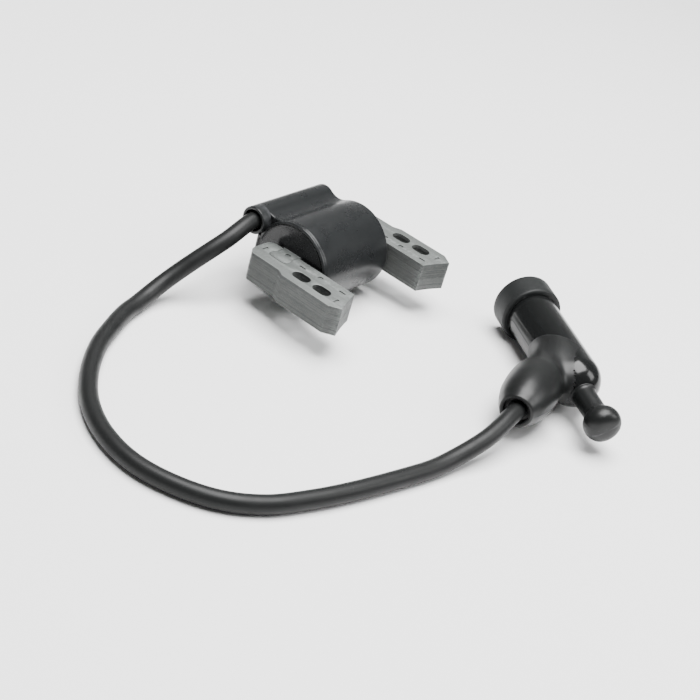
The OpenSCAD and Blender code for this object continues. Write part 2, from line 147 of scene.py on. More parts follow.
# points no further apart than step, along a path
def dense(path, step, closed=False):
    path = np.asarray(path, float)
    ends = np.roll(path, -1, 0) if closed else path[1:]
    out = []
    for a, b in zip(path, ends):
        n = max(1, int(math.ceil(np.linalg.norm(b - a) / step)))
        out.append(a + (b - a) * (np.arange(n) / n)[:, None])
    if not closed:
        out.append(path[-1:])
    return np.concatenate(out)


# the smooth curve from b to c: (2b + (c-a)t + (2a-5b+4c-d)t^2 + (3b-a-3c+d)t^3) / 2
def curveBetween(a, b, c, d, t):
    square, cube = 2 * a - 5 * b + 4 * c - d, 3 * b - a - 3 * c + d
    return (2 * b + (c - a) * t + square * t ** 2 + cube * t ** 3) / 2


# a closed loop moved sideways, to its left where distance is positive
def offsetLoop(loop, distance):
    before, after = unit(loop - np.roll(loop, 1, 0)), unit(np.roll(loop, -1, 0) - loop)
    tangent = unit(before + after)
    normal = np.stack([-tangent[:, 1], tangent[:, 0]], 1)
    stretch = 1 / np.maximum(np.sum(normal * np.stack([-before[:, 1], before[:, 0]], 1), 1), 0.6)
    distance = np.broadcast_to(distance, len(loop))
    return loop + normal * (distance * stretch)[:, None]


# triangles that fill a loop and leave its holes open
def fillLoops(loops, starts):
    tris = tessellate_polygon([[Vector((p[0], p[1], 0)) for p in loop] for loop in loops])
    index = np.concatenate([np.arange(len(loop)) + s for loop, s in zip(loops, starts)])
    flat = np.concatenate(loops)
    out = []
    for t in tris:
        a, b, c = flat[t[0]], flat[t[1]], flat[t[2]]
        turn = (b[0] - a[0]) * (c[1] - a[1]) - (b[1] - a[1]) * (c[0] - a[0])
        if abs(turn) > 1e-12:
            t = t if turn > 0 else t[::-1]
            out.append([int(index[i]) for i in t])
    return out


# a surface of revolution: profile is (along, radius), place is (origin, axis, side)
def lathe(profile, place, segments=96, angles=None, closed=False, wobble=None):
    origin, axis, side = (np.array(v, float) for v in place)
    other = np.cross(axis, side)
    turns = np.linspace(0, 2 * math.pi, segments, endpoint=False) if angles is None else angles
    profile = np.asarray(profile, float)
    startPole, endPole = profile[0, 1] < 1e-6, profile[-1, 1] < 1e-6
    rings = profile[int(startPole):len(profile) - int(endPole)]
    radius = rings[:, 1][:, None] * np.ones(len(turns))[None]
    if wobble is not None:
        radius = radius + wobble(rings[:, 0][:, None], turns[None, :], radius)
    around = side[None] * np.cos(turns)[:, None] + other[None] * np.sin(turns)[:, None]
    points = (origin + rings[:, 0][:, None, None] * axis + radius[:, :, None] * around[None]).reshape(-1, 3)
    rows, cols = len(rings), len(turns)
    faces = gridFaces(rows, cols, wrapRows=closed)
    for pole, row, outward in ((startPole, 0, False), (endPole, rows - 1, True)):
        if pole:
            points = np.vstack([points, [origin + profile[0 if row == 0 else -1, 0] * axis]])
            last = len(points) - 1
            a = row * cols + np.arange(cols)
            b = row * cols + (np.arange(cols) + 1) % cols
            faces += [[last, u, v] if outward else [last, v, u] for u, v in zip(a.tolist(), b.tolist())]
    return points, faces


# several separate shells put into one mesh
def merged(*shells):
    points, faces, start = [], [], 0
    for p, f in shells:
        points.append(np.asarray(p, float))
        faces += [[i + start for i in face] for face in f]
        start += len(p)
    return np.concatenate(points), faces


# a mesh put together from rings of points and filled faces
def newShell():
    return {"points": [], "faces": [], "count": 0}


def addRings(shell, rings, outward=True):
    first, cols = shell["count"], len(rings[0])
    faces = gridFaces(len(rings), cols, first)
    shell["points"] += list(rings)
    shell["faces"] += faces if outward else flipped(faces)
    shell["count"] += cols * len(rings)
    return first, first + (len(rings) - 1) * cols


def addFill(shell, loops, starts, up=True):
    faces = fillLoops(loops, starts)
    shell["faces"] += faces if up else flipped(faces)


# a wall over a flat loop, each station giving its level and how far the loop moves in there
def addWall(shell, loop, stations, toSpace, outward=True):
    rings = [toSpace(offsetLoop(loop, inset), level) for level, inset in stations]
    first, last = addRings(shell, rings, outward)
    return (offsetLoop(loop, stations[0][1]), first), (offsetLoop(loop, stations[-1][1]), last)


def shellMesh(name, shell, sharpAngle=38, slotName=None):
    return newMesh(name, np.concatenate(shell["points"]), shell["faces"], sharpAngle, slotName)


def dress(piece, slotName, body, *nodes):
    piece.data.materials.append(materials[slotName])
    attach(piece, body)
    if nodes:
        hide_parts(*nodes)


def arcPoints(centre, radius, start, end, step=3):
    n = max(2, int(abs(end - start) / step) + 1)
    turns = np.radians(np.linspace(start, end, n + 1))
    return np.stack([centre[0] + radius * np.cos(turns), centre[1] + radius * np.sin(turns)], 1)


# closed loop with the corner nearest a point eased into a curve that starts reach before it
def easedLoop(loop, near, reach):
    at = int(np.argmin(np.linalg.norm(loop - np.array(near), axis=1)))
    loop = np.roll(loop, len(loop) // 2 - at, 0)
    at = len(loop) // 2
    away = np.linalg.norm(loop - loop[at], axis=1)
    a, b = at, at
    while away[a] < reach:
        a -= 1
    while away[b] < reach:
        b += 1
    t = np.linspace(0, 1, 9)[:, None]
    bend = (1 - t) ** 2 * loop[a] + 2 * t * (1 - t) * loop[at] + t ** 2 * loop[b]
    return np.concatenate([loop[:a], bend, loop[b + 1:]])


# ------- material helpers
def makeGroup(name, inputs, outputs):
    group = bpy.data.node_groups.new(name, "ShaderNodeTree")
    for label, kind, value in inputs:
        socket = group.interface.new_socket(label, in_out="INPUT", socket_type=kind)
        if value is not None:
            socket.default_value = value
    for label, kind in outputs:
        group.interface.new_socket(label, in_out="OUTPUT", socket_type=kind)
    return group, group.nodes.new("NodeGroupInput"), group.nodes.new("NodeGroupOutput")


def mathNode(tree, operation, a, b=None, c=None, clamp=False):
    node = tree.nodes.new("ShaderNodeMath")
    node.operation = operation
    node.use_clamp = clamp
    for i, value in enumerate((a, b, c)):
        if value is None:
            continue
        if isinstance(value, (int, float)):
            node.inputs[i].default_value = value
        else:
            tree.links.new(value, node.inputs[i])
    return node.outputs[0]


def noiseNode(tree, vector, scale, detail=3, roughness=0.5):
    node = tree.nodes.new("ShaderNodeTexNoise")
    node.inputs["Detail"].default_value = detail
    node.inputs["Roughness"].default_value = roughness
    for name, value in (("Vector", vector), ("Scale", scale)):
        if isinstance(value, (int, float)):
            node.inputs[name].default_value = value
        else:
            tree.links.new(value, node.inputs[name])
    return node.outputs["Fac"]


def rampNode(tree, value, low, high, outLow=0.0, outHigh=1.0):
    node = tree.nodes.new("ShaderNodeMapRange")
    tree.links.new(value, node.inputs["Value"])
    for name, number in (("From Min", low), ("From Max", high), ("To Min", outLow), ("To Max", outHigh)):
        node.inputs[name].default_value = number
    return node.outputs["Result"]


def mixColour(tree, factor, a, b):
    node = tree.nodes.new("ShaderNodeMix")
    node.data_type = "RGBA"
    for socket, value in ((node.inputs[0], factor), (node.inputs[6], a), (node.inputs[7], b)):
        if isinstance(value, (int, float)):
            socket.default_value = value
        elif isinstance(value, (tuple, list)):
            socket.default_value = (*value, 1)
        else:
            tree.links.new(value, socket)
    return node.outputs[2]


def bumpNode(tree, height, distance, strength=1.0, normal=None):
    node = tree.nodes.new("ShaderNodeBump")
    node.inputs["Strength"].default_value = strength
    node.inputs["Distance"].default_value = distance
    tree.links.new(height, node.inputs["Height"])
    if normal is not None:
        tree.links.new(normal, node.inputs["Normal"])
    return node.outputs["Normal"]


# fine moulded skin: a height for bump and a mask of slightly duller patches
def makeSkinGroup():
    group, ins, outs = makeGroup(
        "mouldedSkin",
        [("Grain Scale", "NodeSocketFloat", 2500.0), ("Patch Scale", "NodeSocketFloat", 120.0)],
        [("Height", "NodeSocketFloat"), ("Patches", "NodeSocketFloat")])
    place = group.nodes.new("ShaderNodeTexCoord").outputs["Object"]
    fine = noiseNode(group, place, ins.outputs["Grain Scale"], 2)
    broad = noiseNode(group, place, ins.outputs["Patch Scale"], 4, 0.6)
    finePart, broadPart = mathNode(group, "MULTIPLY", fine, 0.5), mathNode(group, "MULTIPLY", broad, 0.8)
    height = mathNode(group, "ADD", finePart, broadPart)
    group.links.new(height, outs.inputs["Height"])
    group.links.new(rampNode(group, broad, 0.42, 0.66), outs.inputs["Patches"])
    return group


# specks of dust that settle on what faces up
def makeDustGroup():
    group, ins, outs = makeGroup(
        "dust",
        [("Scale", "NodeSocketFloat", 900.0), ("Amount", "NodeSocketFloat", 0.5)],
        [("Mask", "NodeSocketFloat")])
    place = group.nodes.new("ShaderNodeTexCoord").outputs["Object"]
    cells = group.nodes.new("ShaderNodeTexVoronoi")
    cells.feature = "F1"
    group.links.new(place, cells.inputs["Vector"])
    group.links.new(ins.outputs["Scale"], cells.inputs["Scale"])
    split = group.nodes.new("ShaderNodeSeparateColor")
    group.links.new(cells.outputs["Color"], split.inputs[0])
    size = rampNode(group, split.outputs[0], 0.9, 1.0, 0.0, 0.22)
    speck = mathNode(group, "LESS_THAN", cells.outputs["Distance"], size)
    geometry = group.nodes.new("ShaderNodeNewGeometry")
    axes = group.nodes.new("ShaderNodeSeparateXYZ")
    group.links.new(geometry.outputs["Normal"], axes.inputs[0])
    upward = rampNode(group, axes.outputs[2], 0.1, 0.9)
    mask = mathNode(group, "MULTIPLY", mathNode(group, "MULTIPLY", speck, upward), ins.outputs["Amount"])
    group.links.new(mask, outs.inputs["Mask"])
    return group


# painted highlight on sharp edges: the colour brightens where the surface turns sharply, broken up by noise
def makeEdgeHighlightGroup():
    group, ins, outs = makeGroup(
        "edgeWear",
        [("Low", "NodeSocketFloat", 0.52), ("High", "NodeSocketFloat", 0.6),
         ("Break Scale", "NodeSocketFloat", 600.0)],
        [("Mask", "NodeSocketFloat")])
    geometry = group.nodes.new("ShaderNodeNewGeometry")
    place = group.nodes.new("ShaderNodeTexCoord").outputs["Object"]
    span = group.nodes.new("ShaderNodeMapRange")
    group.links.new(geometry.outputs["Pointiness"], span.inputs["Value"])
    group.links.new(ins.outputs["Low"], span.inputs["From Min"])
    group.links.new(ins.outputs["High"], span.inputs["From Max"])
    breaks = rampNode(group, noiseNode(group, place, ins.outputs["Break Scale"], 3), 0.35, 0.6)
    group.links.new(mathNode(group, "MULTIPLY", span.outputs["Result"], breaks), outs.inputs["Mask"])
    return group


# the stack's sheets: a tone for each sheet, the dark line between two, and drag marks from the punch
def makeSheetsGroup():
    group, ins, outs = makeGroup(
        "stackedSheets",
        [("Sheet", "NodeSocketFloat", 0.5 * mm), ("Line", "NodeSocketFloat", 0.16)],
        [(label, "NodeSocketFloat") for label in ("Tone", "Gap", "Drag", "Side")])
    place = group.nodes.new("ShaderNodeTexCoord").outputs["Object"]
    axes = group.nodes.new("ShaderNodeSeparateXYZ")
    group.links.new(place, axes.inputs[0])
    level = mathNode(group, "DIVIDE", axes.outputs[2], ins.outputs["Sheet"])
    number = mathNode(group, "FLOOR", level)
    within = mathNode(group, "FRACT", level)
    white = group.nodes.new("ShaderNodeTexWhiteNoise")
    white.noise_dimensions = "1D"
    group.links.new(number, white.inputs["W"])
    edge = mathNode(group, "MINIMUM", within, mathNode(group, "SUBTRACT", 1.0, within))
    gap = mathNode(group, "SUBTRACT", 1.0, mathNode(group, "DIVIDE", edge, ins.outputs["Line"]), clamp=True)
    stretch = group.nodes.new("ShaderNodeVectorMath")
    stretch.operation = "MULTIPLY"
    stretch.inputs[1].default_value = (900, 900, 2600)
    group.links.new(place, stretch.inputs[0])
    drag = noiseNode(group, stretch.outputs[0], 1.0, 3)
    geometry = group.nodes.new("ShaderNodeNewGeometry")
    facing = group.nodes.new("ShaderNodeSeparateXYZ")
    group.links.new(geometry.outputs["True Normal"], facing.inputs[0])
    side = mathNode(group, "LESS_THAN", mathNode(group, "ABSOLUTE", facing.outputs[2]), 0.6)
    group.links.new(white.outputs["Value"], outs.inputs["Tone"])
    group.links.new(gap, outs.inputs["Gap"])
    group.links.new(drag, outs.inputs["Drag"])
    group.links.new(side, outs.inputs["Side"])
    return group


skinGroup = makeSkinGroup()
dustGroup = makeDustGroup()
edgeHighlightGroup = makeEdgeHighlightGroup()
sheetsGroup = makeSheetsGroup()


def useGroup(tree, group, **values):
    node = tree.nodes.new("ShaderNodeGroup")
    node.node_tree = group
    for name, value in values.items():
        node.inputs[name.replace("_", " ")].default_value = value
    return node


def newMaterial(name):
    material = bpy.data.materials.new(name)
    material.use_nodes = True
    shader = material.node_tree.nodes["Principled BSDF"]
    return material, material.node_tree, shader


# rougher in the skin's patches
def patchyRoughness(tree, skin, look):
    return rampNode(tree, skin.outputs["Patches"], 0, 1, look["roughness"], look["roughness"] + look["patchRough"])


def skinRelief(tree, skin, look, shader, under=None):
    relief = bumpNode(tree, skin.outputs["Height"], look["grainDepth"] * mm, 1.0, under)
    tree.links.new(relief, shader.inputs["Normal"])


# a moulded plastic, rubber or ceramic
def mouldedMaterial(name, look):
    material, tree, shader = newMaterial(name)
    skin = useGroup(tree, skinGroup, Grain_Scale=look["grainScale"], Patch_Scale=look["patchScale"])
    dust = useGroup(tree, dustGroup, Scale=look["dustScale"], Amount=look["dust"])
    # painted edge highlight: a brighter colour laid on sharp edges
    edgeLit = useGroup(tree, edgeHighlightGroup, Low=look["edgeLow"], High=look["edgeHigh"], Break_Scale=look["breakScale"])
    base = mixColour(tree, edgeLit.outputs["Mask"], look["colour"], look["edgeColour"])
    base = mixColour(tree, dust.outputs["Mask"], base, look["dustColour"])
    tree.links.new(base, shader.inputs["Base Color"])
    dustRough = mathNode(tree, "MULTIPLY", dust.outputs["Mask"], look["dustRough"])
    rough = mathNode(tree, "ADD", patchyRoughness(tree, skin, look), dustRough)
    tree.links.new(rough, shader.inputs["Roughness"])
    skinRelief(tree, skin, look, shader)
    shader.inputs["IOR"].default_value = look["ior"]
    shader.inputs["Specular IOR Level"].default_value = look["specular"]
    shader.inputs["Coat Weight"].default_value = look["coat"]
    shader.inputs["Coat Roughness"].default_value = look["coatRough"]
    return material


def metalMaterial(name, look):
    material, tree, shader = newMaterial(name)
    skin = useGroup(tree, skinGroup, Grain_Scale=look["grainScale"], Patch_Scale=look["patchScale"])
    colour = mixColour(tree, skin.outputs["Patches"], look["colour"], look["patchColour"])
    tree.links.new(colour, shader.inputs["Base Color"])
    tree.links.new(patchyRoughness(tree, skin, look), shader.inputs["Roughness"])
    skinRelief(tree, skin, look, shader)
    shader.inputs["Metallic"].default_value = look["metallic"]
    return material


# electrical steel: bare sheet on top, a stack of cut edges on the sides
def steelMaterial(name, look):
    material, tree, shader = newMaterial(name)
    sheets = useGroup(tree, sheetsGroup, Sheet=look["sheet"] * mm, Line=look["line"])
    skin = useGroup(tree, skinGroup, Grain_Scale=look["grainScale"], Patch_Scale=look["patchScale"])
    edgeLit = useGroup(tree, edgeHighlightGroup, Low=look["edgeLow"], High=look["edgeHigh"], Break_Scale=look["breakScale"])
    flat = mixColour(tree, skin.outputs["Patches"], look["colour"], look["patchColour"])
    cutEdge = mixColour(tree, sheets.outputs["Tone"], look["sheetDark"], look["sheetLight"])
    drag = rampNode(tree, sheets.outputs["Drag"], 0.35, 0.7)
    halfDrag = mathNode(tree, "MULTIPLY", drag, 0.5)
    gap = sheets.outputs["Gap"]
    cutEdge = mixColour(tree, halfDrag, cutEdge, look["dragColour"])
    cutEdge = mixColour(tree, mathNode(tree, "MULTIPLY", gap, look["gap"]), cutEdge, look["gapColour"])
    colour = mixColour(tree, sheets.outputs["Side"], flat, cutEdge)
    # painted edge highlight on the steel's sharp edges and the rims of its stamped marks
    edgeShine = mathNode(tree, "MULTIPLY", edgeLit.outputs["Mask"], look["edge"])
    colour = mixColour(tree, edgeShine, colour, look["edgeColour"])
    tree.links.new(colour, shader.inputs["Base Color"])
    tree.links.new(patchyRoughness(tree, skin, look), shader.inputs["Roughness"])
    relief = mathNode(tree, "MULTIPLY", sheets.outputs["Side"], mathNode(tree, "SUBTRACT", halfDrag, gap))
    first = bumpNode(tree, relief, look["reliefDepth"] * mm, 1.0)
    skinRelief(tree, skin, look, shader, first)
    shader.inputs["Metallic"].default_value = look["metallic"]
    return material


# looks, one for each kind of surface: colours are linear, depths and sheets in millimetres
# each look's edge colour is the painted highlight laid on its sharp edges
housingLook = {
    "colour": (0.010, 0.011, 0.0115), "edgeColour": (0.05, 0.052, 0.055), "dustColour": (0.35, 0.34, 0.32),
    "roughness": 0.27, "patchRough": 0.08, "dustRough": 0.4, "specular": 0.3, "ior": 1.5, "coat": 0.0,
    "coatRough": 0.1, "grainScale": 1800.0, "patchScale": 90.0, "grainDepth": 0.012, "dustScale": 1500.0,
    "dust": 0.07, "edgeLow": 0.53, "edgeHigh": 0.62, "breakScale": 500.0}
capLook = dict(
    housingLook, colour=(0.006, 0.0065, 0.0065), edgeColour=(0.03, 0.03, 0.032), roughness=0.16,
    patchRough=0.05, grainScale=1500.0, patchScale=60.0, grainDepth=0.008, dust=0.05, coatRough=0.08)
sealLook = dict(
    housingLook, colour=(0.011, 0.012, 0.012), edgeColour=(0.05, 0.05, 0.052), roughness=0.46,
    patchRough=0.1, grainScale=3000.0, patchScale=160.0, dust=0.08, specular=0.22)
leadLook = dict(
    housingLook, colour=(0.009, 0.0095, 0.0095), edgeColour=(0.03, 0.03, 0.03), roughness=0.40,
    grainScale=2600.0, patchScale=140.0, grainDepth=0.010, dust=0.08, specular=0.2)
resinLook = dict(
    housingLook, colour=(0.012, 0.012, 0.013), edgeColour=(0.02, 0.02, 0.02), roughness=0.17,
    patchRough=0.12, grainScale=700.0, patchScale=130.0, grainDepth=0.03, dust=0.05, ior=1.55)
nylonLook = dict(sealLook, colour=(0.62, 0.57, 0.46), edgeColour=(0.7, 0.66, 0.56), roughness=0.4)
boardLook = dict(sealLook, colour=(0.02, 0.13, 0.05), edgeColour=(0.1, 0.2, 0.1), roughness=0.3)
chipLook = dict(sealLook, colour=(0.02, 0.02, 0.022))
tanLook = dict(sealLook, colour=(0.42, 0.27, 0.14), edgeColour=(0.5, 0.36, 0.22))
creamLook = dict(sealLook, colour=(0.72, 0.68, 0.58), edgeColour=(0.8, 0.77, 0.7))
steelLook = {
    "colour": (0.145, 0.155, 0.149), "patchColour": (0.12, 0.13, 0.124), "sheetDark": (0.07, 0.074, 0.072),
    "sheetLight": (0.10, 0.105, 0.102), "dragColour": (0.125, 0.13, 0.127), "gapColour": (0.055, 0.058, 0.058),
    "edgeColour": (0.3, 0.315, 0.31), "edge": 0.6, "gap": 0.35, "sheet": 0.5, "line": 0.16,
    "roughness": 0.46, "patchRough": 0.12, "metallic": 0.55, "grainScale": 2200.0, "patchScale": 260.0,
    "grainDepth": 0.010, "reliefDepth": 0.03, "edgeLow": 0.53, "edgeHigh": 0.6, "breakScale": 900.0}
barLook = dict(steelLook, colour=(0.13, 0.14, 0.134), patchColour=(0.10, 0.108, 0.104))
brassLook = {
    "colour": (0.72, 0.53, 0.22), "patchColour": (0.6, 0.42, 0.17), "roughness": 0.28, "patchRough": 0.14,
    "metallic": 1.0, "grainScale": 1500.0, "patchScale": 300.0, "grainDepth": 0.006}
copperLook = dict(brassLook, colour=(0.55, 0.2, 0.08), patchColour=(0.42, 0.14, 0.05))
tinLook = dict(brassLook, colour=(0.62, 0.6, 0.55), patchColour=(0.5, 0.48, 0.43))
springLook = dict(brassLook, colour=(0.6, 0.61, 0.62), patchColour=(0.5, 0.51, 0.52))

materials = {slotName: make(name, look) for slotName, make, name, look in (
    ("housing_plastic", mouldedMaterial, "housingPlastic", housingLook),
    ("resin", mouldedMaterial, "castingResin", resinLook),
    ("cap_rubber", mouldedMaterial, "capRubber", capLook),
    ("boot_rubber", mouldedMaterial, "bootRubber", dict(capLook, roughness=0.36, patchRough=0.08)),
    ("seal_rubber", mouldedMaterial, "sealRubber", sealLook),
    ("lead_rubber", mouldedMaterial, "leadRubber", leadLook),
    ("core_steel", steelMaterial, "coreSteel", steelLook),
    ("crossbar_steel", steelMaterial, "crossbarSteel", barLook),
    ("bobbin_plastic", mouldedMaterial, "bobbinNylon", nylonLook),
    ("board", mouldedMaterial, "circuitBoard", boardLook),
    ("chip_plastic", mouldedMaterial, "chipPlastic", chipLook),
    ("capacitor_ceramic", mouldedMaterial, "tanCeramic", tanLook),
    ("resistor_ceramic", mouldedMaterial, "creamCeramic", creamLook),
    ("terminal_brass", metalMaterial, "terminalBrass", brassLook),
    ("copper_wire", metalMaterial, "copperWire", copperLook),
    ("tinned_copper", metalMaterial, "tinnedCopper", tinLook),
    ("spring_steel", metalMaterial, "springSteel", springLook))}
slotOf = {row["node"]: row["material_slot"] for row in frame["record"]["subparts"]}
for node, piece in frame["nodes"].items():
    piece.data.materials.clear()
    piece.data.materials.append(materials[slotOf[node]])
print("materials", round(time.time() - startTime, 1))


# ------- camera
cameraSize = {
    "lens": 72, "sensor": 36, "clip": (0.02, 20), "place": (263.5, -433.7, 286.5),
    "right": (0.7467, 0.6194, 0.2424), "forward": (-0.4336, 0.7297, -0.5287)}
camera = bpy.data.objects.new("camera", bpy.data.cameras.new("camera"))
camera.data.lens, camera.data.sensor_width = cameraSize["lens"], cameraSize["sensor"]
camera.data.clip_start, camera.data.clip_end = cameraSize["clip"]
lookRight = unit(np.array(cameraSize["right"]))
lookForward = unit(np.array(cameraSize["forward"]))
lookForward = unit(lookForward - lookRight * (lookRight @ lookForward))
lookUp = np.cross(lookRight, lookForward)
cameraRows = np.stack([lookRight, lookUp, -lookForward, np.array(cameraSize["place"]) * mm], 1)
camera.matrix_world = Matrix([*cameraRows.tolist(), [0, 0, 0, 1]])
bpy.context.scene.collection.objects.link(camera)
bpy.context.scene.camera = camera


# ------- high tension lead, laid along the route of its solid
leadSize = {"step": 1.0, "sides": 48, "boreRadius": 1.3, "startY": 10.0}
drop = towerAt[2] - lieZ
rise = capAt[2] - lieZ
towerX, mouthY, capX = towerAt[0], layout["mouthY"], capAt[0]
towerZ = towerAt[2]


def armPoint(s):
    return tuple(capAt + armDir * s)


leadRoute = np.array([
    (towerX, leadSize["startY"], towerZ), (towerX, 2, towerZ), (towerX, -6, towerZ),
    (towerX, mouthY + 12, towerZ), (towerX, mouthY + 5, towerZ),
    (towerX + 0.1, mouthY - 1, towerZ - drop * 0.005), (towerX + 0.6, mouthY - 6.5, towerZ - drop * 0.05),
    (towerX + 0.8, mouthY - 14, towerZ - drop * 0.16), (towerX - 0.6, mouthY - 21, towerZ - drop * 0.31),
    (towerX - 2.7, mouthY - 27.2, towerZ - drop * 0.48), (towerX - 4.7, mouthY - 33.4, lieZ + drop * 0.345),
    (towerX - 5.9, mouthY - 40.1, lieZ + drop * 0.19), (towerX - 5.8, mouthY - 47.3, lieZ + drop * 0.075),
    (towerX - 4.5, mouthY - 54.8, lieZ + drop * 0.015),
    (-43.1, -88.9, lieZ), (-38.6, -99.3, lieZ), (-31.3, -113.2, lieZ), (-20, -127.5, lieZ),
    (-6.5, -139, lieZ), (9, -146.2, lieZ), (25.5, -148.4, lieZ), (41.5, -144.9, lieZ),
    (56, -137.2, lieZ), (66.6, -125.5, lieZ), (73.6, -110.5, lieZ), (78.9, -95.2, lieZ),
    (83.2, -79.6, lieZ), (capX + 8.5, -64, lieZ), (capX + 10.1, -56, lieZ + rise * 0.03),
    (capX + 11.5, -48, lieZ + rise * 0.16), (capX + 13, -40.2, lieZ + rise * 0.37),
    (capX + 14.1, -32.4, lieZ + rise * 0.6), (capX + 14.2, -24.5, lieZ + rise * 0.82),
    (capX + 13.6, -18, lieZ + rise * 0.96), *(armPoint(s) for s in (53, 47, 40, 33, 25, 18, 12))])


# the smooth curve through the route, held up where it would dip below the floor
def smoothRoute(route, step):
    out = []
    for i in range(len(route) - 1):
        a, b, c, d = route[max(i - 1, 0)], route[i], route[i + 1], route[min(i + 2, len(route) - 1)]
        n = max(2, int(np.linalg.norm(c - b) / step))
        out.append(curveBetween(a, b, c, d, (np.arange(n) / n)[:, None]))
    out.append(route[-1:])
    path = np.concatenate(out)
    path[:, 2] = np.maximum(path[:, 2], lieZ)
    return path


def tubeRings(path, radius, sides):
    tangent = unit(np.gradient(path, axis=0))
    side = unit(np.cross(tangent, upDir))
    up = np.cross(tangent, side)
    turns = np.linspace(0, 2 * math.pi, sides, endpoint=False)
    radius = np.broadcast_to(np.asarray(radius, float), (len(path),))
    around = np.cos(turns)[None, :, None] * side[:, None] + np.sin(turns)[None, :, None] * up[:, None]
    return path[:, None] + radius[:, None, None] * around


def hollowTube(path, radius, bore, sides):
    outer, inner = tubeRings(path, radius, sides), tubeRings(path, bore, sides)
    rows = len(path)
    loop = np.concatenate([outer, inner[::-1]])
    return loop.reshape(-1, 3), gridFaces(2 * rows, sides, wrapRows=True)


leadPath = smoothRoute(leadRoute, leadSize["step"])
leadPoints, leadFaces = hollowTube(leadPath, layout["leadRadius"], leadSize["boreRadius"], leadSize["sides"])
lead = newMesh("highTensionLead", leadPoints, leadFaces, slotName="lead_rubber")
lead.data.materials.append(materials["lead_rubber"])
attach(lead, "coil")
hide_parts("lead_jacket")
leadLength = float(np.linalg.norm(np.diff(leadPath, axis=0), axis=1).sum())
print("lead", round(leadLength, 1), "mm", round(time.time() - startTime, 1))

# ------- laminated core: two legs and the crossbar
coreSize = {
    "legIn": 23.2, "legOut": 39.6, "step": 1.8, "stepFrom": -13.7, "stepTo": -10.2, "front": 19.0, "back": -31.0,
    "noseX": 14.1, "noseDrop": 3.3, "poleRadius": 90.0, "backRadius": 4.5, "neckHalf": 4.1, "tenonDepth": 9.2,
    "slotLength": 8.3, "slotWidth": 5.3, "slotPitch": 10.8, "slotInset": 10.05, "seam": 0.05, "edge": 0.16,
    "groove": 0.05, "grooveHalf": 0.05, "sheets": 25, "shuffle": 0.03, "seed": 7, "markLength": 3.2,
    "markWidth": 1.1, "markDepth": 0.4, "markCorner": 0.3, "markRadius": 1.3, "spacing": 2.2, "sharp": 50}
legIn, legOut = coreSize["legIn"], coreSize["legOut"]
noseY, barHalf, neckHalf = legOut - coreSize["noseDrop"], layout["barWidth"] / 2, coreSize["neckHalf"]
poleX = coreSize["front"] + math.sqrt(coreSize["poleRadius"] ** 2 - noseY ** 2)
shiftSource = np.random.default_rng(coreSize["seed"])
sheetShift = shiftSource.normal(0, coreSize["shuffle"], (coreSize["sheets"] + 1, 2))
tenonHalf = [
    (neckHalf, legIn, 0), (neckHalf, legIn + 3.7, 0.6), (barHalf, legIn + 5, 0.9),
    (barHalf, legIn + coreSize["tenonDepth"], 2)]
tenonPath = tenonHalf + [(-x, y, r) for x, y, r in reversed(tenonHalf)]


def poleArc():
    y = np.linspace(legIn, noseY, 20)
    return [(poleX - math.sqrt(coreSize["poleRadius"] ** 2 - v * v), v, 0) for v in y]


def slotLoop(cx, cy):
    half, r = (coreSize["slotLength"] - coreSize["slotWidth"]) / 2, coreSize["slotWidth"] / 2
    ends = ((cx + half, 90, -90), (cx - half, 270, 90))
    return np.concatenate([arcPoints((x, cy), r, start, end, 6) for x, start, end in ends])


def markLoop(cx, cy, turn):
    half = np.array([coreSize["markLength"], coreSize["markWidth"]]) / 2
    if turn:
        half = half[::-1]
    signs = ((-1, -1), (-1, 1), (1, 1), (1, -1))
    corners = [(cx + a * half[0], cy + b * half[1], coreSize["markCorner"]) for a, b in signs]
    return roundedPath(corners, True, 25)


def roundLoop(cx, cy, radius):
    return arcPoints((cx, cy), radius, 360, 12, 12)


def laminated(name, outline, holes, marks, slotName, mirrorY=False):
    height, edge = layout["stackHeight"], coreSize["edge"]
    groove, halfGap = coreSize["groove"], coreSize["grooveHalf"]
    sign = -1 if mirrorY else 1

    def toSpace(loop, level):
        shift = sheetShift[int(np.clip(level / height * coreSize["sheets"], 0, coreSize["sheets"]))]
        z = np.full(len(loop), level)
        return np.stack([loop[:, 0] + shift[0], (loop[:, 1] + shift[1]) * sign, z], 1)

    stations = [(0.0, edge), (edge * 0.35, edge * 0.3), (edge, 0.0)]
    for k in range(1, coreSize["sheets"]):
        z = k * height / coreSize["sheets"]
        stations += [(z - halfGap, 0.0), (z - 0.001, groove), (z + halfGap, 0.0)]
    stations += [(height - edge, 0.0), (height - edge * 0.35, edge * 0.3), (height, edge)]
    shell = newShell()
    tops, bottoms = [], []
    for loop in [outline] + holes:
        low, high = addWall(shell, loop, stations, toSpace, not mirrorY)
        bottoms.append(low)
        tops.append(high)
    dent = [(height - coreSize["markDepth"], 0.1), (height - 0.08, 0.03), (height, -0.05)]
    for loop in marks:
        low, high = addWall(shell, loop, dent, toSpace, not mirrorY)
        tops.append(high)
        addFill(shell, [low[0]], [low[1]], not mirrorY)
    addFill(shell, [t[0] for t in tops], [t[1] for t in tops], not mirrorY)
    addFill(shell, [b[0] for b in bottoms], [b[1] for b in bottoms], mirrorY)
    return shellMesh(name, shell, coreSize["sharp"], slotName)


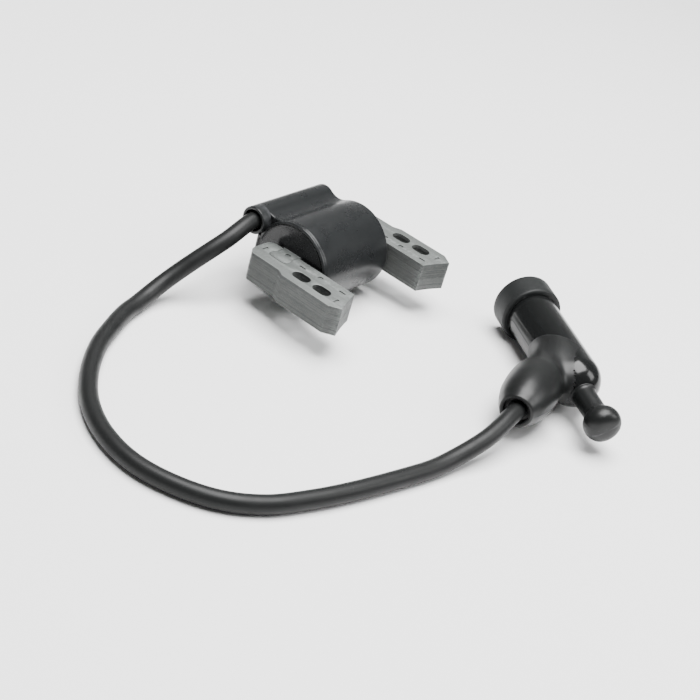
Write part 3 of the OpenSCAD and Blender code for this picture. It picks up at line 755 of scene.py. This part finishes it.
backX, stepY = coreSize["back"], legOut - coreSize["step"]
legPath = poleArc() + [
    (coreSize["noseX"], legOut, 0.8), (coreSize["stepTo"], legOut, 0.6), (coreSize["stepFrom"], stepY, 0.6),
    (backX + 2.6, stepY, 1.2), (backX + 0.6, stepY - 2.2, 1.0), (backX, stepY - 4, 1.0),
    (backX, legIn, coreSize["backRadius"])] + [(barX + x, y, r) for x, y, r in reversed(tenonPath)]
legLoop = dense(roundedPath(legPath, True, 12), coreSize["spacing"], True)
slotY = legIn + coreSize["slotInset"]
legHoles = [slotLoop(sign * coreSize["slotPitch"] / 2, slotY) for sign in (-1, 1)]
legMarks = [
    markLoop(barX - 7.8, legIn + 7.2, True), markLoop(-10, legIn + 4.2, False),
    markLoop(10.9, legIn + 3.8, False), markLoop(coreSize["front"] - 5.3, legIn + 10.9, True),
    roundLoop(-0.8, legIn + 3.7, coreSize["markRadius"])]
for name, node, mirrored in (
        ("rightLegStack", "right_leg_laminations", False), ("leftLegStack", "left_leg_laminations", True)):
    leg = laminated(name, legLoop, legHoles, legMarks, "core_steel", mirrored)
    dress(leg, "core_steel", "coil", node)

barPath = [(barHalf, -legIn, 0), (barHalf, legIn, 0)] + tenonPath + [(-barHalf, legIn, 0), (-barHalf, -legIn, 0)]
barPath += [(x, -y, r) for x, y, r in reversed(tenonPath)]
barLoop = dense(roundedPath([(barX + x, y, r) for x, y, r in barPath], True, 12), 2.5, True)
barLoop = offsetLoop(barLoop, coreSize["seam"])
barMarks = [roundLoop(barX + 0.7, sign * (legIn + 2.8), coreSize["markRadius"]) for sign in (-1, 1)]
crossbar = laminated("crossbarStack", barLoop, [], barMarks, "crossbar_steel")
dress(crossbar, "crossbar_steel", "coil", "crossbar_laminations")
print("core", round(time.time() - startTime, 1))

# ------- coil housing: a can with a tray on its side and a web that carries the tower
housingSize = {
    "valleyRadius": 8.0, "trayX": -19.4, "trayLow": -7.4, "trayHigh": 5.0, "trayRadius": 1.5, "rim": 0.3,
    "back": 1.1, "webEdge": 0.45, "socketRadius": 4.6, "boreEnd": 14.9, "lipRound": 0.55, "towerFoot": 0.01,
    "webMeet": (-19.66, 5.45), "sharp": 34}
drumRadius, wallT = layout["drumRadius"], layout["wall"]
towerUv = np.array([layout["towerDx"], layout["towerDz"]])
valleyRadius, towerRadius = housingSize["valleyRadius"], layout["towerRadius"]
valleyA, valleyB = drumRadius + valleyRadius, towerRadius + valleyRadius
reach = np.linalg.norm(towerUv)
valleyU = (valleyA ** 2 - valleyB ** 2 + reach ** 2) / (2 * reach)
valleyV = math.sqrt(valleyA ** 2 - valleyU ** 2)
valleyAt = (valleyU * towerUv + valleyV * np.array([towerUv[1], -towerUv[0]])) / reach
valleyTurn = math.degrees(math.atan2(valleyAt[1], valleyAt[0]))
towerTurn = math.degrees(math.atan2(*(valleyAt - towerUv)[::-1]))


def onDrum(v, radius):
    return (-math.sqrt(radius ** 2 - v ** 2), v)


def turnOf(point):
    return math.degrees(math.atan2(point[1], point[0])) % 360


def drumLoop(inset):
    radius, low, high = drumRadius - inset, housingSize["trayLow"] + inset, housingSize["trayHigh"] - inset
    left, r = housingSize["trayX"] + inset, housingSize["trayRadius"]
    lowAt, highAt = onDrum(low, radius), onDrum(high, radius)
    tray = roundedPath([(*highAt, 0), (left, high, r), (left, low, r), (*lowAt, 0)], False, 15)
    arc = arcPoints((0, 0), radius, turnOf(lowAt), turnOf(highAt) + 360)
    loop = np.concatenate([arc[1:-1], dense(tray, 1.5)])
    return easedLoop(loop, lowAt, 1.0)


lowAt = onDrum(housingSize["trayLow"], drumRadius)
drumArc = arcPoints((0, 0), drumRadius, turnOf(lowAt), valleyTurn + 360)
valleyArc = arcPoints(valleyAt, valleyRadius, valleyTurn + 180, towerTurn + 180)
towerArc = arcPoints(towerUv, towerRadius, towerTurn, 277)
trayX, trayR = housingSize["trayX"], housingSize["trayRadius"]
trayCorners = [(*housingSize["webMeet"], 0), (trayX, 3.6, trayR), (trayX, housingSize["trayLow"], trayR), (*lowAt, 0)]
trayPath = roundedPath(trayCorners, False, 15)
bodyLoop = np.concatenate([drumArc[1:], valleyArc[1:], towerArc[1:], dense(trayPath, 1.5)])
bodyLoop = easedLoop(bodyLoop, lowAt, 1.2)
bodyLoop = easedLoop(bodyLoop, housingSize["webMeet"], 1.4)
# 0 where the loop runs round the tower, so that the tower's foot keeps its full width
awayFromTower = np.clip((np.linalg.norm(bodyLoop - towerUv, axis=1) - towerRadius - 0.02) / 1.2, 0, 1)


def inHousing(loop, level):
    return np.stack([barX + loop[:, 0], np.full(len(loop), level), midZ + loop[:, 1]], 1)


def barRectangle(spacing):
    return dense(np.array([(a * barHalf, b * midZ) for a, b in ((-1, -1), (-1, 1), (1, 1), (1, -1))]), spacing, True)


nearY, farY, webY, mouth = layout["drumNear"], layout["drumFar"], layout["webNear"], layout["mouthY"]
socketEnd, socketR = mouth + layout["socketDepth"], housingSize["socketRadius"]
rim, back, webEdge = housingSize["rim"], housingSize["back"], housingSize["webEdge"]
backStart, bodyStart = farY - back, webY + 1.2
bodyRings = [(webY, webEdge * awayFromTower), (webY + 0.14, 0.13 * awayFromTower)]
bodyRings += [(webY + webEdge, 0.0), (bodyStart, 0.0)]
bodyRings += [(bodyStart + (backStart - bodyStart) * t, 0.0) for t in (0.25, 0.5, 0.75, 1.0)]
bodyRings += [(farY - back * (1 - math.sin(t)), back * (1 - math.cos(t))) for t in np.radians((22, 45, 68, 90))]
rimRings = [(nearY, rim), (nearY + 0.13, rim * 0.3), (nearY + rim, 0.0), (webY, 0.0)]
cavityRings = [(nearY, 0.3), (nearY + 0.3, 0.0), (farY - wallT, 0.0)]
socket = arcPoints(towerUv, socketR, 360, 6, 6)
bore = arcPoints(towerUv, layout["boreRadius"], 360, 6, 6)
shell = newShell()
webFace, farFace = addWall(shell, bodyLoop, bodyRings, inHousing, False)
rimFace, rimFoot = addWall(shell, drumLoop(0), rimRings, inHousing, False)
cavityTop, cavityEnd = addWall(shell, drumLoop(wallT)[::-1], cavityRings, inHousing, False)
holeNear, holeFar = addWall(shell, barRectangle(2.5), [(farY - wallT, 0.0), (farY, 0.0)], inHousing, False)
socketNear, socketFar = addWall(shell, socket, [(webY, 0.0), (socketEnd, 0.0)], inHousing, False)
boreNear, boreFar = addWall(shell, bore, [(socketEnd, 0.0), (housingSize["boreEnd"], 0.0)], inHousing, False)
for loops, up in (
        ((webFace, rimFoot, socketNear), True), ((rimFace, cavityTop), True), ((cavityEnd, holeNear), True),
        ((farFace, holeFar), False), ((socketFar, boreNear), True), ((boreFar,), True)):
    addFill(shell, [edge[0] for edge in loops], [edge[1] for edge in loops], up)
bodyShell = (np.concatenate(shell["points"]), shell["faces"])
lip, foot = housingSize["lipRound"], webY + housingSize["towerFoot"]
lipTurns = np.radians(np.linspace(0, 90, 7))[::-1]
towerProfile = [(mouth + lip * (1 - math.sin(t)), towerRadius - lip * (1 - math.cos(t))) for t in lipTurns]
towerProfile += [(foot, towerRadius), (foot, socketR), (mouth + 0.35, socketR), (mouth + 0.1, socketR + 0.1)]
towerProfile += [(mouth, socketR + 0.35)]
towerPlace = ((towerX, 0, towerZ), (0, 1, 0), (1, 0, 0))
towerShell = lathe(towerProfile, towerPlace, 96, closed=True)
housing = newMesh("coilHousing", *merged(bodyShell, towerShell), housingSize["sharp"], "housing_plastic")
dress(housing, "housing_plastic", "coil", "coil_housing")
print("housing", round(time.time() - startTime, 1))

# ------- open face of the casting resin: flat, climbing a little where it wets the wall and the bar
resinSize = {
    "faceY": -22.0, "climb": 0.24, "reach": 1.0, "rings": 10, "barClimb": 0.25, "barReach": 0.8, "barRings": 6}


def resinFace():
    edge = drumLoop(wallT + 0.01)
    shell = newShell()
    rings = []
    for k in range(resinSize["rings"] + 1):
        t = k / resinSize["rings"]
        away = resinSize["reach"] * t
        rise = resinSize["climb"] * (1 - t) ** 3
        loop = offsetLoop(edge, away)
        rings.append(inHousing(loop, resinSize["faceY"] - rise))
    first, last = addRings(shell, rings, True)
    inner = offsetLoop(edge, resinSize["reach"])
    rect, barReach = barRectangle(1.6), resinSize["barReach"]
    hole = []
    for k in range(resinSize["barRings"] + 1):
        t = k / resinSize["barRings"]
        rise = resinSize["barClimb"] * t ** 3
        hole.append(inHousing(offsetLoop(rect, barReach * (1 - t)), resinSize["faceY"] - rise))
    outer, foot = addRings(shell, hole, True)
    addFill(shell, [inner, offsetLoop(rect, barReach)], [last, outer], True)
    return shell


dress(shellMesh("resinFace", resinFace(), 60, "resin"), "resin", "coil")

# ------- plug cap: barrel with its dome, boot over the lead, collar, and pull knob
capSize = {
    "barrelRadius": 11.0, "barrelLength": 35.8, "domeX": -17.2, "plugBore": 6.8, "plugBoreX": 24.5,
    "clipBase": 4.6, "clipX": 20.5, "baseRadius": 3.3, "baseX": -1.5, "parting": 0.10, "partingWidth": 0.022,
    "ridgeHalf": 0.12, "blend": 5.0, "knobStart": 22.2, "knobEnd": 50.5, "knobRidgeFrom": 29.0, "sharp": 45}
barrelSide = np.cross(upDir, barrelDir)
armSide = np.cross(upDir, armDir)
ridgeHalf = capSize["ridgeHalf"]
# turns of the cap's pieces, close together over the two fine lines of the mould
fineTurns = np.concatenate([
    turns for start in (0, math.pi) for turns in (
        start + np.linspace(-ridgeHalf, ridgeHalf, 17),
        np.linspace(start + ridgeHalf, start + math.pi - ridgeHalf, 50)[1:-1])])


# a fine raised line along both sides, where the two halves of the mould met
def partingRidge(along, turn, radius):
    gap = np.minimum(np.abs(np.sin(turn / 2)), np.abs(np.cos(turn / 2))) * 2
    return capSize["parting"] * np.exp(-(gap / capSize["partingWidth"]) ** 2) * (radius > 8)


def barrelProfile():
    r, x0, x1, bore = capSize["barrelRadius"], capSize["domeX"], capSize["barrelLength"], capSize["plugBore"]
    boreX, clipX, clipR = capSize["plugBoreX"], capSize["clipX"], capSize["clipBase"]
    out = [(x0 - r * math.cos(t), r * math.sin(t)) for t in np.radians(np.linspace(0, 90, 40))]
    out += [(x0 + (x1 - 0.5 - x0) * t, r) for t in np.linspace(0, 1, 30)[1:]]
    out += [(x1, r - 0.5), (x1, bore + 0.4), (x1 - 0.4, bore), (boreX, bore), (boreX, clipR), (clipX, clipR)]
    out += [(clipX, capSize["baseRadius"]), (capSize["baseX"], capSize["baseRadius"]), (capSize["baseX"], 0)]
    return out


def ridgeOnSkin(along, turn, radius):
    return partingRidge(along, turn, radius) * (radius > capSize["barrelRadius"] * 0.35)


barrelPlace = (capAt, barrelDir, barrelSide)
barrelShell = lathe(barrelProfile(), barrelPlace, angles=fineTurns, wobble=ridgeOnSkin)
dress(newMesh("capBarrel", *barrelShell, 40, "cap_rubber"), "cap_rubber", "cap", "cap_shell")


# how far outside the barrel and its dome a point lies
def outsideBarrel(points):
    local = points - capAt
    along = np.clip(local @ barrelDir, capSize["domeX"], capSize["barrelLength"])
    return np.linalg.norm(local - along[..., None] * barrelDir, axis=-1) - capSize["barrelRadius"]


# (along, radius) of the boot's outside, and of its end and bore
bootProfile = np.array([
    (4, 8.8), (12, 8.8), (17, 8.9), (21, 9.4), (27, 10.6), (33, 11.0), (38, 10.8), (43, 10.1),
    (47.5, 8.9), (50.5, 7.7), (52, 7.1), (52.6, 6.85)])
bootEnd = [
    (52.9, 6.6), (53.0, 6.25), (53.0, 5.7), (52.85, 5.35), (52.5, 5.2), (50.6, 5.2), (50.5, 5.1), (50.5, 3.7),
    (50.4, layout["boreRadius"]), (24.0, layout["boreRadius"]), (6.0, layout["boreRadius"])]


# the boot grows out of the barrel: radius where the smooth union of the two has its skin
def bootSurface():
    s = np.linspace(bootProfile[0, 0], bootProfile[-1, 0], 84)
    smooth = smoothProfile(bootProfile, 400)
    r = np.interp(s, smooth[:, 0], smooth[:, 1])
    turns = fineTurns
    around = armSide[None] * np.cos(turns)[:, None] + upDir[None] * np.sin(turns)[:, None]
    low = np.zeros((len(s), len(turns)))
    high = np.broadcast_to((r + 6)[:, None], low.shape).copy()
    for _ in range(40):
        middle = (low + high) / 2
        points = capAt + s[:, None, None] * armDir + middle[:, :, None] * around[None]
        own, other = middle - r[:, None], outsideBarrel(points)
        h = np.maximum(capSize["blend"] - np.abs(own - other), 0) / capSize["blend"]
        value = np.minimum(own, other) - h * h * capSize["blend"] / 4
        inside = value < 0
        low = np.where(inside, middle, low)
        high = np.where(inside, high, middle)
    radius = (low + high) / 2
    radius = np.where(radius > r[:, None] + 5.9, r[:, None], radius)
    radius = radius + partingRidge(s[:, None], turns[None], radius)
    rows = [capAt + s[i] * armDir + radius[i][:, None] * around for i in range(len(s))]
    rows += [capAt + along * armDir + ringRadius * around for along, ringRadius in bootEnd]
    return np.array(rows)


# a rounded run through a few (along, radius) pairs
def smoothProfile(pairs, count):
    pairs = np.asarray(pairs, float)
    out = []
    for i in range(len(pairs) - 1):
        a, b, c, d = pairs[max(i - 1, 0)], pairs[i], pairs[i + 1], pairs[min(i + 2, len(pairs) - 1)]
        t = np.linspace(0, 1, count // len(pairs), endpoint=False)[:, None]
        out.append(curveBetween(a, b, c, d, t))
    out.append(pairs[-1:])
    return np.concatenate(out)


bootRows = bootSurface()
bootFaces = gridFaces(len(bootRows), len(fineTurns), wrapRows=True)
leadBoot = newMesh("leadBoot", bootRows.reshape(-1, 3), bootFaces, capSize["sharp"], "cap_rubber")
dress(leadBoot, "boot_rubber", "cap", "lead_boot")

# (along, radius) of the knob: its root, the small bead, the waist and the grip
knobStart, knobEnd = capSize["knobStart"], capSize["knobEnd"]
knobProfile = [
    (knobStart, 4.9), (26.4, 4.95), (27.2, 5.7), (27.9, 5.2), (28.8, 4.92), (32, 4.85), (37.5, 4.8),
    (39.7, 4.95), (40.8, 5.4), (41.6, 6.1), (42.8, 6.95), (44.2, 7.42), (45.7, 7.55), (47.2, 7.3),
    (48.6, 6.6), (49.6, 5.4), (50.2, 3.9), (50.45, 2.2), (knobEnd, 0.8)]


def ridgeOnKnob(along, turn, radius):
    return partingRidge(along, turn, np.full_like(radius, 10.0)) * (along > capSize["knobRidgeFrom"]) * 0.8


knobRun = [(knobStart, 0.0)] + [tuple(p) for p in smoothProfile(knobProfile, 150)] + [(knobEnd, 0.0)]
knobShell = lathe(knobRun, (capAt, -barrelDir, -barrelSide), angles=fineTurns, wobble=ridgeOnKnob)
dress(newMesh("pullKnob", *knobShell, capSize["sharp"], "cap_rubber"), "boot_rubber", "cap", "pull_knob")

mouthX = capSize["barrelLength"]
collarProfile = roundedPath([
    (40.4, 6.0, 0), (40.4, 11.6, 0.6), (39.7, 11.9, 0.3), (39.7, 13.3, 0.7), (28.0, 13.3, 2.0),
    (28.0, capSize["barrelRadius"], 0.2), (mouthX, capSize["barrelRadius"], 0), (mouthX, capSize["plugBore"], 0),
    (38.0, capSize["plugBore"], 0), (38.0, 6.0, 0)], False, 12)
collarShell = lathe(dense(collarProfile, 1.5)[::-1], barrelPlace, 128, closed=True)
dress(newMesh("sealCollar", *collarShell, capSize["sharp"], "seal_rubber"), "seal_rubber", "cap", "plug_seal")
print("cap", round(time.time() - startTime, 1))

# ------- floor and light
floorMaterial, floorTree, floorShader = newMaterial("paleFloor")
floorShader.inputs["Base Color"].default_value = (0.9, 0.9, 0.9, 1)
floorShader.inputs["Roughness"].default_value = 0.6
# in metres: a flat floor that bends up into a wall behind the part
stageSize = {"half": 3.0, "bendStart": 1.4, "bendRadius": 0.8, "height": 3.0}
stageHalf, bendStart, bendRadius = stageSize["half"], stageSize["bendStart"], stageSize["bendRadius"]
sweepBend = [
    (bendStart + bendRadius * math.sin(t), bendRadius * (1 - math.cos(t))) for t in np.linspace(0, math.pi / 2, 24)]
sweepProfile = [(-stageHalf, 0.0), *sweepBend, (bendStart + bendRadius, stageSize["height"])]
away = unit(np.array([lookForward[0], lookForward[1], 0]))
across = np.cross(away, upDir)
sweepPoints = [
    (away * d + across * w) / mm + np.array([0, 0, layout["floorZ"] + h / mm])
    for d, h in sweepProfile for w in (-stageHalf, stageHalf)]
sweepFaces = [[2 * i, 2 * i + 1, 2 * i + 3, 2 * i + 2] for i in range(len(sweepProfile) - 1)]
floor = newMesh("floor", sweepPoints, sweepFaces)
floor.data.materials.append(floorMaterial)

world = bpy.data.worlds.new("studio")
bpy.context.scene.world = world
world.use_nodes = True
skyInputs = world.node_tree.nodes["Background"].inputs
skyInputs["Color"].default_value = (1, 1, 1, 1)
skyInputs["Strength"].default_value = 0.16


def areaLight(name, position, target, size, power, colour=(1, 1, 1)):
    data = bpy.data.lights.new(name, "AREA")
    data.shape, data.size, data.size_y = "RECTANGLE", size[0], size[1]
    data.energy, data.color = power, colour
    lamp = bpy.data.objects.new(name, data)
    lamp.location = position
    lamp.rotation_mode = "QUATERNION"
    lamp.rotation_quaternion = (Vector(target) - Vector(position)).to_track_quat("-Z", "Y")
    bpy.context.scene.collection.objects.link(lamp)
    return lamp


areaLight("overhead", (0.05, 0.05, 1.2), (0.03, -0.04, 0), (1.0, 1.0), 60)
areaLight("side", (0.9, 0.5, 0.7), (0.05, 0, 0), (0.4, 0.6), 7)

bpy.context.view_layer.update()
print("done", round(time.time() - startTime, 1))
